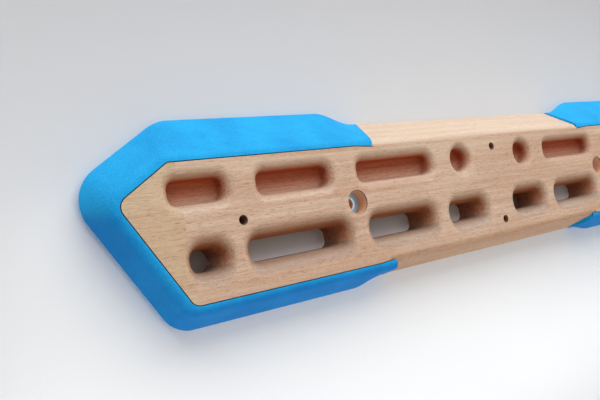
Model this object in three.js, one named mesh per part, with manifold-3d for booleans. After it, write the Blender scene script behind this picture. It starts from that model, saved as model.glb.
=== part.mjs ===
// Hangboard: a glued beech core with blind pockets above and slots right through below,
// and two cast polyurethane end caps that are screwed on from behind.
// Millimetres: X runs along the board, +Y points into the wall and +Z is up.
// The origin is on the wall plane, half way along the board and half way up the core's ends.
import * as THREE from "three";
import { mergeVertices } from "three/addons/utils/BufferGeometryUtils.js";
import Module from "manifold-3d";

const wasm = await Module();
wasm.setup();

// Board
const thickness = 34;
const jointGap = 0.3; // left between a piece and the neighbour that it fits
const overrun = 2; // how far every cutter runs past the face that it opens

// Outline of the core inside the caps, left half, as the photograph shows it from the front
const seamHeight = 50.3; // from mid height up to the upper seam and down to the lower one
const shoulderX = 350.2;
const shoulderRadius = 4;
const tipX = 390.3;
const tipZ = 25.2;
const tipRadius = 8;
const heelX = 347.3;
const heelRadius = 8;
const glueJointX = 344.5; // where an end stave is glued to the middle stave

// Inner end of a cap: the seam turns in a little, then round a corner and back along a slant
const flareLength = 20;
const upperFlareDrop = 1.6;
const lowerFlareDrop = 1.1;
const flareRadius = 60;
const lipCornerRadius = 4;
const upperLipX = 158.7;
const upperLipSlant = 13; // how much nearer the middle the end lies at the back than at the front
const lowerLipX = 155;
const lowerLipSlant = 9;

// Middle of the core between the caps: a sloping top edge and a steeper lower edge
const upperFrontZ = 52; // sharp corner that the front rounding replaces
const upperBackZ = 78;
const lowerFrontZ = -51;
const lowerBackZ = -63.6;
const frontRounding = 8;
const backRounding = 3;

// Overhang of a cap beyond the seam, at its widest, on each of its four sides
const capOverhangTop = 36;
const capOverhangUpperSide = 25.6;
const capOverhangLowerSide = 13.8;
const capOverhangBottom = 18;
const lipOverhangTop = 24.7; // at the inner ends, where the cap comes down to the wood
const lipOverhangBottom = 12.2;
const upperRampStart = 194; // where the cap starts to come down, measured from the middle
const upperRampEnd = 154;
const lowerRampStart = 187;
const lowerRampEnd = 152;
const capLand = 0.5; // flat strip beside the seam before the rounding
const capFrontRounding = 8;
const capBackRounding = 6;

// Flange behind the core that carries the cap screws
const flangeWidth = 12;
const flangeThickness = 5;
const flangeEndX = 172;

// Cap screws
const screwLength = 16;
const screwShankRadius = 2.2;
const screwHeadRadius = 4.3;
const screwHeadHeight = 2.8;
const screwPointLength = 4;
const screwInset = 6; // from the seam to a screw's axis
const screwSocketRadius = 1.9;
const screwSocketDepth = 1.6;
const screwInnerX = 214; // of the two screws on each long side
const screwOuterX = 305;

// Pockets: lengths, heights and corners of the straight part, which an elliptical lip widens in front
const upperRowZ = 28.8;
const upperRow = {
  height: 17.5,
  cornerRadius: 6.5,
  lip: 9,
  endLip: 9,
  lipDepth: 9,
  depth: 15,
  floorRadius: 4,
};
const lowerRowZ = -20.6;
const lowerRow = { height: 16.5, cornerRadius: 6, lip: 12, endLip: 14, lipDepth: 18 };
const outerPocket = { x: 330, length: 43 };
const widePocket = { x: 244.7, length: 67.5 };
const longPocket = { x: 134.5, length: 87 };
const onePocket = { x: 48.8, z: 29.1, diameter: 21.5, lip: 8 };
const endSlot = { x: 328.7, length: 24.5, cornerRadius: 8.25, endLip: 10.5 };
const longSlot = { x: 247.5, length: 88.5 };
const wideSlot = { x: 135.8, length: 71 };
const shortSlot = { x: 48.8, length: 43.5 };

// Bolts and their washers
const boltX = 187;
const boltZ = 3.5;
const counterboreRadius = 10;
const counterboreDepth = 13.5;
const washerThickness = 2;
const washerHoleRadius = 5.25;
const boltBoreRadius = 5.5;

// Plain screw holes through the core
const screwHoleRadius = 3.25;
const screwHoleChamfer = 0.6;
const outerHole = { x: 298.5, z: 3.2 };
const upperHoleZ = 38.6;
const lowerHoleZ = -35.6;

// How finely round stretches are cut into flats
const lipSteps = 5;
const floorSteps = 2;
const pocketCornerSteps = 4; // each quarter circle of a pocket's outline
const roundSteps = 24;
const socketSides = 6;
const cornerSteps = 6;
const rampSteps = 8;

const front = -thickness;
const back = 0;

const materials = {
  beech: new THREE.MeshStandardMaterial({ color: "#cfa888", roughness: 0.6, metalness: 0 }),
  paleBeech: new THREE.MeshStandardMaterial({ color: "#d3b08c", roughness: 0.6, metalness: 0 }),
  blueCast: new THREE.MeshStandardMaterial({ color: "#1f95e6", roughness: 0.85, metalness: 0 }),
  steel: new THREE.MeshStandardMaterial({ color: "#c3c9cf", roughness: 0.3, metalness: 1 }),
  zinc: new THREE.MeshStandardMaterial({ color: "#b9b6ac", roughness: 0.4, metalness: 1 }),
};

// Solids

// Triangles as a solid; they are turned over where they face inwards.
function toSolid(geometry) {
  const bare = geometry.clone();
  bare.deleteAttribute("normal");
  bare.deleteAttribute("uv");
  const merged = mergeVertices(bare);
  const triangles = [];
  for (let i = 0; i < merged.index.count; i += 3) {
    const [a, b, c] = merged.index.array.subarray(i, i + 3);
    if (a !== b && b !== c && c !== a) triangles.push([a, b, c]);
  }
  const positions = new Float32Array(merged.attributes.position.array);
  const solid = solidFrom(positions, triangles.flat());
  if (solid.volume() > 0) return solid;
  return solidFrom(positions, triangles.flatMap(([a, b, c]) => [a, c, b]));
}

function solidFrom(vertProperties, indices) {
  return new wasm.Manifold(
    new wasm.Mesh({ numProp: 3, vertProperties, triVerts: new Uint32Array(indices) }),
  );
}

function toGeometry(solid) {
  const mesh = solid.getMesh();
  const geometry = new THREE.BufferGeometry();
  geometry.setAttribute("position", new THREE.BufferAttribute(mesh.vertProperties, 3));
  geometry.setIndex(new THREE.BufferAttribute(mesh.triVerts, 1));
  geometry.computeVertexNormals();
  return geometry;
}

function joined(solids) {
  return solids.reduce((sum, solid) => sum.add(solid));
}

function without(solid, cutters) {
  return cutters.reduce((rest, cutter) => rest.subtract(cutter), solid);
}

// A closed skin over rings of equally many points, with its two end faces given as triangles.
function skin(rings, endTriangles) {
  const count = rings[0].length;
  const positions = rings.flat().flatMap((point) => [point.x, point.y, point.z]);
  const triangles = [];
  for (let ring = 0; ring + 1 < rings.length; ring++) {
    for (let i = 0; i < count; i++) {
      const next = (i + 1) % count;
      const a = ring * count + i;
      const b = ring * count + next;
      triangles.push(a, b, a + count, b, b + count, a + count);
    }
  }
  const last = (rings.length - 1) * count;
  for (const triangle of endTriangles) {
    const [a, b, c] = [...triangle].sort((one, other) => one - other);
    triangles.push(a, c, b, last + a, last + b, last + c);
  }
  const geometry = new THREE.BufferGeometry();
  geometry.setAttribute("position", new THREE.Float32BufferAttribute(positions, 3));
  geometry.setIndex(triangles);
  return toSolid(geometry);
}

function fan(count) {
  return Array.from({ length: count - 2 }, (_, i) => [0, i + 1, i + 2]);
}

// A straight-sided solid between an outline on one depth plane and a like one on another.
function ruledBlock(nearOutline, farOutline, nearY, farY) {
  const near = nearOutline.map((point) => new THREE.Vector3(point.x, nearY, point.y));
  const far = farOutline.map((point) => new THREE.Vector3(point.x, farY, point.y));
  return skin([near, far], THREE.ShapeUtils.triangulateShape(nearOutline, []));
}

function block(outline, nearY, farY) {
  return ruledBlock(outline, outline, nearY, farY);
}

// A round solid on an axis along Y, from a profile of [radius, depth] points.
function turned(profile, x, z, sides = roundSteps) {
  const points = profile.map(([radius, y]) => new THREE.Vector2(radius, y));
  return toSolid(new THREE.LatheGeometry(points, sides).translate(x, 0, z));
}

function mirrored(solid) {
  return solid.mirror([1, 0, 0]);
}

// Outlines

// Points along a path whose corners are rounded; an open path keeps its two ends.
function rounded(corners, closed) {
  const count = corners.length;
  return corners.flatMap((corner, i) => {
    if (!closed && (i === 0 || i === count - 1)) return [corner.point];
    const before = corners[(i + count - 1) % count].point;
    const after = corners[(i + 1) % count].point;
    const into = corner.point.clone().sub(before).normalize();
    const outOf = after.clone().sub(corner.point).normalize();
    const turn = Math.atan2(into.cross(outOf), into.dot(outOf));
    const inwards = new THREE.Vector2(-into.y, into.x).multiplyScalar(Math.sign(turn) * corner.radius);
    const setback = corner.radius * Math.tan(Math.abs(turn) / 2);
    const centre = corner.point.clone().addScaledVector(into, -setback).add(inwards);
    const steps = corner.radius > 0 ? cornerSteps : 0;
    return Array.from({ length: steps + 1 }, (_, step) => {
      const angle = (turn * step) / Math.max(steps, 1);
      const spoke = inwards.clone().negate().rotateAround(new THREE.Vector2(), angle);
      return centre.clone().add(spoke);
    });
  });
}

function corner(x, z, radius = 0) {
  return { point: new THREE.Vector2(x, z), radius };
}

function outlineOf(corners) {
  return rounded(corners, true);
}

// The same corners with each side moved to its right, which is outwards on a path that turns left.
function movedOut(corners, distanceOf) {
  const count = corners.length;
  const sides = corners.map((start, i) => {
    const end = corners[(i + 1) % count];
    const along = end.point.clone().sub(start.point).normalize();
    const normal = new THREE.Vector2(along.y, -along.x);
    return { along, at: start.point.clone().addScaledVector(normal, distanceOf(i)) };
  });
  return corners.map((original, i) => {
    const before = (i + count - 1) % count;
    const first = sides[before];
    const second = sides[i];
    const reach = second.at.clone().sub(first.at).cross(second.along) / first.along.cross(second.along);
    const point = first.at.clone().addScaledVector(first.along, reach);
    const turn = Math.sign(first.along.cross(second.along));
    const growth = (turn * (distanceOf(before) + distanceOf(i))) / 2;
    return { point, radius: original.radius > 0 ? Math.max(original.radius + growth, 0) : 0 };
  });
}

// The region that a left cap may fill, seen from the front, with its ends at the given places.
function capRegion(upperEndX, lowerEndX, gap) {
  const far = 2 * tipX;
  const corners = [
    corner(-upperEndX, far),
    corner(-upperEndX, seamHeight - upperFlareDrop, lipCornerRadius),
    corner(-upperEndX - flareLength, seamHeight, flareRadius),
    corner(-shoulderX, seamHeight, shoulderRadius),
    corner(-tipX, tipZ, tipRadius),
    corner(-heelX, -seamHeight, heelRadius),
    corner(-lowerEndX - flareLength, -seamHeight, flareRadius),
    corner(-lowerEndX, lowerFlareDrop - seamHeight, lipCornerRadius),
    corner(-lowerEndX, -far),
    corner(-far, -far),
    corner(-far, far),
  ];
  return outlineOf(movedOut(corners, () => gap));
}

function capZone(gap) {
  const depthShare = (thickness + 2 * overrun) / thickness;
  const ahead = overrun / thickness;
  const nearUpper = upperLipX + upperLipSlant * ahead;
  const nearLower = lowerLipX + lowerLipSlant * ahead;
  return ruledBlock(
    capRegion(nearUpper, nearLower, gap),
    capRegion(nearUpper - upperLipSlant * depthShare, nearLower - lowerLipSlant * depthShare, gap),
    front - overrun,
    back + overrun,
  );
}

// Core outline without the lips, a long hexagon
function coreCorners() {
  return [
    corner(shoulderX, seamHeight, shoulderRadius),
    corner(-shoulderX, seamHeight, shoulderRadius),
    corner(-tipX, tipZ, tipRadius),
    corner(-heelX, -seamHeight, heelRadius),
    corner(heelX, -seamHeight, heelRadius),
    corner(tipX, tipZ, tipRadius),
  ];
}

// Wood core

function box(x0, x1, y0, y1, z0, z1) {
  const outline = [
    new THREE.Vector2(x0, z0),
    new THREE.Vector2(x1, z0),
    new THREE.Vector2(x1, z1),
    new THREE.Vector2(x0, z1),
  ];
  return block(outline, y0, y1);
}

// The middle of the core, between the caps, with its two hand-worn long edges.
function middleLength() {
  const profile = outlineOf([
    corner(front, upperFrontZ, frontRounding),
    corner(front, lowerFrontZ, frontRounding),
    corner(back, lowerBackZ, backRounding),
    corner(back, upperBackZ, backRounding),
  ]);
  const reach = upperLipX + flareLength;
  const ringAt = (x) => profile.map((point) => new THREE.Vector3(x, point.x, point.y));
  return skin([ringAt(-reach), ringAt(reach)], THREE.ShapeUtils.triangulateShape(profile, []));
}

function coreBlank() {
  const cornerX = upperLipX + lipCornerRadius;
  const hexagon = block(outlineOf(coreCorners()), front, back);
  const leftEnd = hexagon.intersect(box(-2 * tipX, -cornerX, front, back, -tipX, tipX));
  const blank = joined([leftEnd, mirrored(leftEnd), middleLength()]);
  const zone = capZone(0);
  return without(blank, [zone, mirrored(zone)]);
}

// A pocket's outline at one depth: a rectangle with rounded corners, or a circle when these meet.
function pocketRing(x, z, halfLength, halfHeight, cornerRadius, y) {
  const radius = Math.min(cornerRadius, halfLength, halfHeight);
  const along = halfLength - radius;
  const up = halfHeight - radius;
  const ring = [];
  for (const quarter of [0, 1, 2, 3]) {
    const toRight = quarter === 0 || quarter === 1 ? 1 : -1;
    const toTop = quarter === 0 || quarter === 3 ? 1 : -1;
    for (let step = 0; step <= pocketCornerSteps; step++) {
      const angle = (Math.PI / 2) * (1 - quarter - step / pocketCornerSteps);
      ring.push(new THREE.Vector3(
        x + toRight * along + radius * Math.cos(angle),
        y,
        z + toTop * up + radius * Math.sin(angle),
      ));
    }
  }
  return ring;
}

// Cutter for a pocket: an elliptical lip, straight walls, and either a rounded floor or the way out behind.
function pocketCutter(x, z, length, row) {
  const ring = (endways, upways, depth) => pocketRing(
    x,
    z,
    length / 2 + endways,
    row.height / 2 + upways,
    row.cornerRadius + endways,
    front + depth,
  );
  const rings = [ring(row.endLip, row.lip, -overrun)];
  for (let step = 0; step <= lipSteps; step++) {
    const angle = ((Math.PI / 2) * step) / lipSteps;
    const share = 1 - Math.sin(angle);
    rings.push(ring(row.endLip * share, row.lip * share, row.lipDepth * (1 - Math.cos(angle))));
  }
  if (row.depth) {
    for (let step = 0; step <= floorSteps; step++) {
      const angle = ((Math.PI / 2) * step) / floorSteps;
      const inward = row.floorRadius * (1 - Math.cos(angle));
      rings.push(ring(-inward, -inward, row.depth - row.floorRadius * (1 - Math.sin(angle))));
    }
  } else {
    rings.push(ring(0, 0, thickness + overrun));
  }
  return skin(rings, fan(rings[0].length));
}

// A round pocket takes its row's depths, with its own diameter and lip.
function roundCutter(hole, row) {
  const { x, z, diameter, lip } = hole;
  const round = { ...row, height: diameter, cornerRadius: diameter / 2, lip, endLip: lip };
  return pocketCutter(-x, z, diameter, round);
}

function pocketCutters() {
  const cutters = [roundCutter(onePocket, upperRow)];
  for (const pocket of [outerPocket, widePocket, longPocket]) {
    cutters.push(pocketCutter(-pocket.x, upperRowZ, pocket.length, upperRow));
  }
  for (const slot of [endSlot, longSlot, wideSlot, shortSlot]) {
    cutters.push(pocketCutter(-slot.x, lowerRowZ, slot.length, { ...lowerRow, ...slot }));
  }
  return cutters.flatMap((cutter) => [cutter, mirrored(cutter)]);
}

function boltCutters() {
  const seat = front + counterboreDepth;
  const cutter = turned([
    [0, front - overrun],
    [counterboreRadius, front - overrun],
    [counterboreRadius, seat],
    [boltBoreRadius, seat],
    [boltBoreRadius, back + overrun],
    [0, back + overrun],
  ], -boltX, boltZ);
  return [cutter, mirrored(cutter)];
}

function screwHoleCutters() {
  const places = [
    new THREE.Vector2(-outerHole.x, outerHole.z),
    new THREE.Vector2(outerHole.x, outerHole.z),
    new THREE.Vector2(0, upperHoleZ),
    new THREE.Vector2(0, lowerHoleZ),
  ];
  return places.map((place) => turned([
    [0, front - overrun],
    [screwHoleRadius + screwHoleChamfer + overrun, front - overrun],
    [screwHoleRadius, front + screwHoleChamfer],
    [screwHoleRadius, back + overrun],
    [0, back + overrun],
  ], place.x, place.y));
}

// Caps

function smooth(share) {
  const inside = Math.min(Math.max(share, 0), 1);
  return inside * inside * (3 - 2 * inside);
}

function mix(from, to, share) {
  return from + (to - from) * share;
}

// How far a cap stands out from the seam at the given depth, on a side with the given overhang:
// a front rounding and a back rounding with their common tangent between them.
function outAt(overhang, y) {
  const frontCentre = new THREE.Vector2(capLand, front + capFrontRounding);
  const backCentre = new THREE.Vector2(overhang - capBackRounding, back - capBackRounding);
  const between = backCentre.clone().sub(frontCentre);
  const lean = Math.acos((capFrontRounding - capBackRounding) / between.length());
  const angle = between.angle() + Math.PI / 2 - lean;
  const normal = new THREE.Vector2(Math.sin(angle), -Math.cos(angle));
  const leave = frontCentre.clone().addScaledVector(normal, capFrontRounding);
  const meet = backCentre.clone().addScaledVector(normal, capBackRounding);
  if (y < leave.y) return frontCentre.x + halfChord(capFrontRounding, y - frontCentre.y);
  if (y > meet.y) return backCentre.x + halfChord(capBackRounding, y - backCentre.y);
  return mix(leave.x, meet.x, (y - leave.y) / (meet.y - leave.y));
}

function halfChord(radius, height) {
  return Math.sqrt(Math.max(radius * radius - height * height, 0));
}

// Depths at which the cap is drawn, closer together over the two roundings.
function capDepths() {
  const quarter = Array.from({ length: cornerSteps + 1 }, (_, step) => ((Math.PI / 2) * step) / cornerSteps);
  return [
    ...quarter.map((angle) => front + capFrontRounding * (1 - Math.cos(angle))),
    ...quarter.map((angle) => back - capBackRounding * (1 - Math.sin(angle))),
  ];
}

// A cap's long side near its inner end, where the overhang comes down to that of the lip.
function rampLine(rampEnd, rampStart, lipOverhang, fullOverhang, side, outOf) {
  const line = [new THREE.Vector2(flareLength - rampEnd, side * (seamHeight + outOf(lipOverhang)))];
  for (let step = 0; step <= rampSteps; step++) {
    const share = step / rampSteps;
    const out = outOf(mix(lipOverhang, fullOverhang, smooth(share)));
    line.push(new THREE.Vector2(-mix(rampEnd, rampStart, share), side * (seamHeight + out)));
  }
  return line;
}

// One line round the left cap, from its upper inner end by the tip to its lower inner end.
function capLine(y, outOf) {
  const overhangs = [capOverhangTop, capOverhangUpperSide, capOverhangLowerSide, capOverhangBottom];
  const corners = movedOut(coreCorners(), (side) => outOf(overhangs[side] ?? capOverhangTop));
  const [, shoulder, tip, heel] = corners;
  const upper = rampLine(upperRampEnd, upperRampStart, lipOverhangTop, capOverhangTop, 1, outOf);
  const lower = rampLine(lowerRampEnd, lowerRampStart, lipOverhangBottom, capOverhangBottom, -1, outOf);
  const start = { point: upper[upper.length - 1], radius: 0 };
  const end = { point: lower[lower.length - 1], radius: 0 };
  const round = rounded([start, shoulder, tip, heel, end], false).slice(1, -1);
  const line = [...upper, ...round, ...lower.reverse()];
  return line.map((point) => new THREE.Vector3(point.x, y, point.y));
}

function capShell() {
  const inside = () => -overrun;
  const lines = [
    capLine(front, inside),
    ...capDepths().map((y) => capLine(y, (overhang) => outAt(overhang, y))),
    capLine(back, inside),
  ];
  const rings = lines[0].map((_, i) => lines.map((line) => line[i]));
  return skin(rings, fan(rings[0].length));
}

function flangeBand(gap) {
  const nearY = back - flangeThickness - gap;
  const outer = block(outlineOf(movedOut(coreCorners(), () => overrun)), nearY, back + gap);
  const hollow = outlineOf(movedOut(coreCorners(), () => -flangeWidth - gap));
  const inner = block(hollow, nearY - overrun, back + overrun);
  const reach = box(-2 * tipX, -flangeEndX + gap, nearY, back + gap, -tipX, tipX);
  return outer.subtract(inner).intersect(reach);
}

// Screw axes of the left cap as seen from the front: two above, one in the tip and two below.
function screwPlaces() {
  const line = seamHeight - screwInset;
  const [, , tip] = movedOut(coreCorners(), () => -screwInset);
  return [
    new THREE.Vector2(-screwInnerX, line),
    new THREE.Vector2(-screwOuterX, line),
    tip.point,
    new THREE.Vector2(-screwOuterX, -line),
    new THREE.Vector2(-screwInnerX, -line),
  ];
}

// A countersunk wood screw driven from behind, larger all round by the given amount.
function screwBody(place, gap, headFace) {
  const pointTop = back - screwLength + screwPointLength;
  return turned([
    [0, back - screwLength - gap],
    [screwShankRadius + gap, pointTop - gap],
    [screwShankRadius + gap, back - screwHeadHeight],
    [screwHeadRadius + gap, back],
    [screwHeadRadius + gap, headFace],
    [0, headFace],
  ], place.x, place.y);
}

function capScrew(place) {
  const socket = turned([
    [0, back - screwSocketDepth],
    [screwSocketRadius, back - screwSocketDepth],
    [screwSocketRadius, back + overrun],
    [0, back + overrun],
  ], place.x, place.y, socketSides);
  return screwBody(place, 0, back).subtract(socket);
}

function screwWay(place) {
  return screwBody(place, jointGap, back + overrun);
}

function leftCap() {
  const shell = capShell().intersect(capZone(jointGap));
  return without(shell.add(flangeBand(0)), screwPlaces().map(screwWay));
}

function washer() {
  const seat = front + counterboreDepth;
  return turned([
    [washerHoleRadius, seat - washerThickness],
    [counterboreRadius - jointGap, seat - washerThickness],
    [counterboreRadius - jointGap, seat],
    [washerHoleRadius, seat],
    [washerHoleRadius, seat - washerThickness],
  ], -boltX, boltZ);
}

// Core with every pocket, bore, flange seat and screw way cut
function core() {
  const seats = flangeBand(jointGap);
  const ways = screwPlaces().map(screwWay);
  return without(coreBlank(), [
    ...pocketCutters(),
    ...boltCutters(),
    ...screwHoleCutters(),
    seats,
    mirrored(seats),
    ...ways,
    ...ways.map((way) => mirrored(way)),
  ]);
}

// Assembly

const group = new THREE.Group();

function add(name, solid, material) {
  const mesh = new THREE.Mesh(toGeometry(solid), material);
  mesh.name = name;
  group.add(mesh);
}

function stave(whole, x0, x1) {
  return whole.intersect(box(x0, x1, front - overrun, back + overrun, -tipX, tipX));
}

const wholeCore = core();
add("wood_core_middle", stave(wholeCore, -glueJointX, glueJointX), materials.beech);
add("wood_core_left_end", stave(wholeCore, -2 * tipX, -glueJointX), materials.paleBeech);
add("wood_core_right_end", stave(wholeCore, glueJointX, 2 * tipX), materials.paleBeech);

const cap = leftCap();
add("end_cap_left", cap, materials.blueCast);
add("end_cap_right", mirrored(cap), materials.blueCast);

add("bolt_washer_left", washer(), materials.steel);
add("bolt_washer_right", mirrored(washer()), materials.steel);

screwPlaces().forEach((place, i) => {
  add(`cap_screw_left_${i + 1}`, capScrew(place), materials.zinc);
  add(`cap_screw_right_${i + 1}`, mirrored(capScrew(place)), materials.zinc);
});

export default group;
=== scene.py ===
import math

import bmesh
import bpy
from mathutils import Matrix, Vector


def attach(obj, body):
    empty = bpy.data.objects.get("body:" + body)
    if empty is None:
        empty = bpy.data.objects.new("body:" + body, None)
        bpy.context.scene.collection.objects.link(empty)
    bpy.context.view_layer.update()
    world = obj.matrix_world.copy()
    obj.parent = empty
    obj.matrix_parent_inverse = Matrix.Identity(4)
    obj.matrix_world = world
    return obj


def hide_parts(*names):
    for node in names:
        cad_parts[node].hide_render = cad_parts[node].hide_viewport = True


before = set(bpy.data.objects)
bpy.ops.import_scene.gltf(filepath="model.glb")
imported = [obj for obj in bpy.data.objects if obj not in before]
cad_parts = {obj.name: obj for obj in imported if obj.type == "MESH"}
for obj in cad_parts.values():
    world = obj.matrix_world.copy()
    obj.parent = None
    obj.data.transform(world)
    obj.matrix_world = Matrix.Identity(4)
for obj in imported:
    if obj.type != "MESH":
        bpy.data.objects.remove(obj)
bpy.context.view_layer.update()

mm = 0.001
weldReach = 1e-7  # metres, points nearer to each other than this become one

# The board's main sizes, in millimetres. X runs along it, the wall is at y = 0 behind it and
# z is counted from half way between its upper and its lower seam.
board = {
    "thickness": 34,
    "seamHeight": 50.3,  # of the seam between wood and cap, above the middle and below it
    "shoulderX": 350.2, "shoulderRadius": 4,  # where the upper seam turns down
    "tipX": 390.3, "tipZ": 25.2, "tipRadius": 8,
    "heelX": 347.3, "heelRadius": 8,  # where it meets the lower seam
    "glueJointX": 344.5,
    "jointGap": 0.3,
    "overrun": 2,  # how far a cutter stands out of what it cuts
}
front = -board["thickness"]  # y of the front face


# Outlines

def corner(x, z, radius=0):
    return Vector((x, z)), radius


def roundedPath(corners, closed=True, steps=12):
    # points, each with the direction to the right of the way there
    path = []
    count = len(corners)
    for i, (point, radius) in enumerate(corners):
        if not closed and i in (0, count - 1):
            other = corners[1 if i == 0 else count - 2][0]
            along = (other - point if i == 0 else point - other).normalized()
            path.append((point.copy(), Vector((along.y, -along.x))))
            continue
        into = (point - corners[i - 1][0]).normalized()
        outOf = (corners[(i + 1) % count][0] - point).normalized()
        turn = math.atan2(into.x * outOf.y - into.y * outOf.x, into.dot(outOf))
        side = math.copysign(1, turn)
        start = point - into * radius * math.tan(abs(turn) / 2)
        centre = start + Vector((-into.y, into.x)) * side * radius
        stops = steps if radius > 0 else 0
        for step in range(stops + 1):
            share = step / stops if stops else 0.5
            along = Matrix.Rotation(turn * share, 2) @ into
            normal = Vector((along.y, -along.x))
            path.append((centre + normal * side * radius, normal))
    return path


def outlineOf(corners, steps=12):
    return [point for point, normal in roundedPath(corners, steps=steps)]


def quarterTurn(steps):
    return [math.pi / 2 * step / steps for step in range(steps + 1)]


def movedOut(corners, distances):
    # every side moved to its right by its distance, with the corners where the sides then meet
    count = len(corners)
    if not isinstance(distances, list):
        distances = [distances] * count
    sides = []
    for i, (point, radius) in enumerate(corners):
        along = (corners[(i + 1) % count][0] - point).normalized()
        sides.append((point + Vector((along.y, -along.x)) * distances[i], along))
    moved = []
    for i, (point, radius) in enumerate(corners):
        (atFirst, first), (atSecond, second) = sides[i - 1], sides[i]
        turn = first.x * second.y - first.y * second.x
        between = atSecond - atFirst
        reach = (between.x * second.y - between.y * second.x) / turn
        growth = math.copysign(1, turn) * (distances[i - 1] + distances[i]) / 2
        moved.append((atFirst + first * reach, max(radius + growth, 0) if radius else 0))
    return moved


# Meshes

def pieceFrom(name, vertices, faces):
    mesh = bpy.data.meshes.new(name)
    mesh.from_pydata([Vector(v) * mm for v in vertices], [], faces)
    piece = bpy.data.objects.new(name, mesh)
    bpy.context.scene.collection.objects.link(piece)
    shaped = bmesh.new()
    shaped.from_mesh(mesh)
    bmesh.ops.remove_doubles(shaped, verts=shaped.verts, dist=weldReach)
    bmesh.ops.recalc_face_normals(shaped, faces=shaped.faces)
    shaped.to_mesh(mesh)
    shaped.free()
    return piece


def skin(name, rings, closed=False):
    # a closed body through rings of equally many points
    count = len(rings[0])
    vertices = [point for ring in rings for point in ring]
    faces = []
    spans = len(rings) if closed else len(rings) - 1
    for ring in range(spans):
        here, there = ring * count, (ring + 1) % len(rings) * count
        for i in range(count):
            j = (i + 1) % count
            faces.append((here + i, here + j, there + j, there + i))
    if not closed:
        faces.append(tuple(range(count))[::-1])
        faces.append(tuple((len(rings) - 1) * count + i for i in range(count)))
    return pieceFrom(name, vertices, faces)


def block(name, outline, nearY, farY, farOutline=None):
    near = [(p.x, nearY, p.y) for p in outline]
    far = [(p.x, farY, p.y) for p in (farOutline or outline)]
    return skin(name, [near, far])


def box(name, x0, x1, y0, y1, z0, z1):
    outline = [Vector((x0, z0)), Vector((x1, z0)), Vector((x1, z1)), Vector((x0, z1))]
    return block(name, outline, y0, y1)


def turned(name, profile, x, z, sides=64):
    # profile of (radius, y) points, from the axis and back to it
    rings = []
    for i in range(sides):
        angle = 2 * math.pi * i / sides
        rings.append([(x + r * math.cos(angle), y, z + r * math.sin(angle)) for r, y in profile])
    return skin(name, rings, closed=True)


def mirrored(piece, name):
    mesh = piece.data.copy()
    mesh.transform(Matrix.Scale(-1, 4, (1, 0, 0)))
    mesh.flip_normals()
    mesh.name = name
    other = bpy.data.objects.new(name, mesh)
    bpy.context.scene.collection.objects.link(other)
    return other


def drop(pieces):
    for piece in pieces:
        mesh = piece.data
        bpy.data.objects.remove(piece)
        bpy.data.meshes.remove(mesh)


def applied(piece):
    # the mesh that the modifiers make becomes the piece's own
    bpy.context.view_layer.update()
    evaluated = piece.evaluated_get(bpy.context.evaluated_depsgraph_get())
    made = bpy.data.meshes.new_from_object(evaluated)
    piece.modifiers.clear()
    old = piece.data
    piece.data = made
    bpy.data.meshes.remove(old)
    made.name = piece.name


def worked(piece, tools, how="DIFFERENCE"):
    # cuts, joins or keeps the common part, and uses the tools up
    for tool in tools:
        modifier = piece.modifiers.new("work", "BOOLEAN")
        modifier.operation = how
        modifier.solver = "MANIFOLD"
        modifier.object = tool
    applied(piece)
    drop(tools)
    return piece


def smooth(piece, angle=32):
    # soft shading over rounded stretches, crisp at real edges, flat faces kept flat
    mesh = piece.data
    shaped = bmesh.new()
    shaped.from_mesh(mesh)
    for face in shaped.faces:
        face.smooth = True
    for edge in shaped.edges:
        edge.smooth = len(edge.link_faces) == 2 and edge.calc_face_angle(0) < math.radians(angle)
    shaped.to_mesh(mesh)
    shaped.free()
    weighted = piece.modifiers.new("face weights", "WEIGHTED_NORMAL")
    weighted.keep_sharp = True
    weighted.weight = 100  # the largest faces decide


# Camera, at the photograph's angle

camera = {
    "place": (-0.53645, -0.43729, -0.01622),  # metres
    "right": (0.8034, -0.5674, -0.1807),
    "forward": (0.5844, 0.8095, 0.0564),
    "lens": 38.4, "sensor": 36,
    "nearest": 0.01,  # metres, nothing nearer is drawn
}


def setCamera():
    data = bpy.data.cameras.new("photoCamera")
    data.sensor_width = camera["sensor"]
    data.lens = camera["lens"]
    data.clip_start = camera["nearest"]
    holder = bpy.data.objects.new("photoCamera", data)
    bpy.context.scene.collection.objects.link(holder)
    right = Vector(camera["right"]).normalized()
    back = -Vector(camera["forward"]).normalized()
    up = back.cross(right).normalized()
    turn = Matrix((right, up, back)).transposed()
    holder.matrix_world = Matrix.Translation(camera["place"]) @ turn.to_4x4()
    bpy.context.scene.camera = holder


setCamera()
print("camera set")


# End caps

cap = {
    "overhangs": (36, 25.6, 13.8, 18),  # top, upper side, lower side, bottom
    "upperLip": {"x": 158.7, "slant": 13, "overhang": 24.7, "rampStart": 194, "rampEnd": 154, "flare": 1.6},
    "lowerLip": {"x": 155, "slant": 9, "overhang": 12.2, "rampStart": 187, "rampEnd": 152, "flare": 1.1},
    "flareLength": 20, "flareRadius": 60, "lipCornerRadius": 4,
    "land": 0.5,  # flat strip along the seam, before the front rounding
    "frontRounding": 8, "backRounding": 6,
    "flangeWidth": 12, "flangeThickness": 5, "flangeEnd": 172,  # let into the back of the wood
    "grooveHalf": 0.41, "grooveSteepness": 1.6,  # the softened seam at the front
}


def coreCorners():
    b = board
    return [
        corner(b["shoulderX"], b["seamHeight"], b["shoulderRadius"]),
        corner(-b["shoulderX"], b["seamHeight"], b["shoulderRadius"]),
        corner(-b["tipX"], b["tipZ"], b["tipRadius"]),
        corner(-b["heelX"], -b["seamHeight"], b["heelRadius"]),
        corner(b["heelX"], -b["seamHeight"], b["heelRadius"]),
        corner(b["tipX"], b["tipZ"], b["tipRadius"]),
    ]


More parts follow.
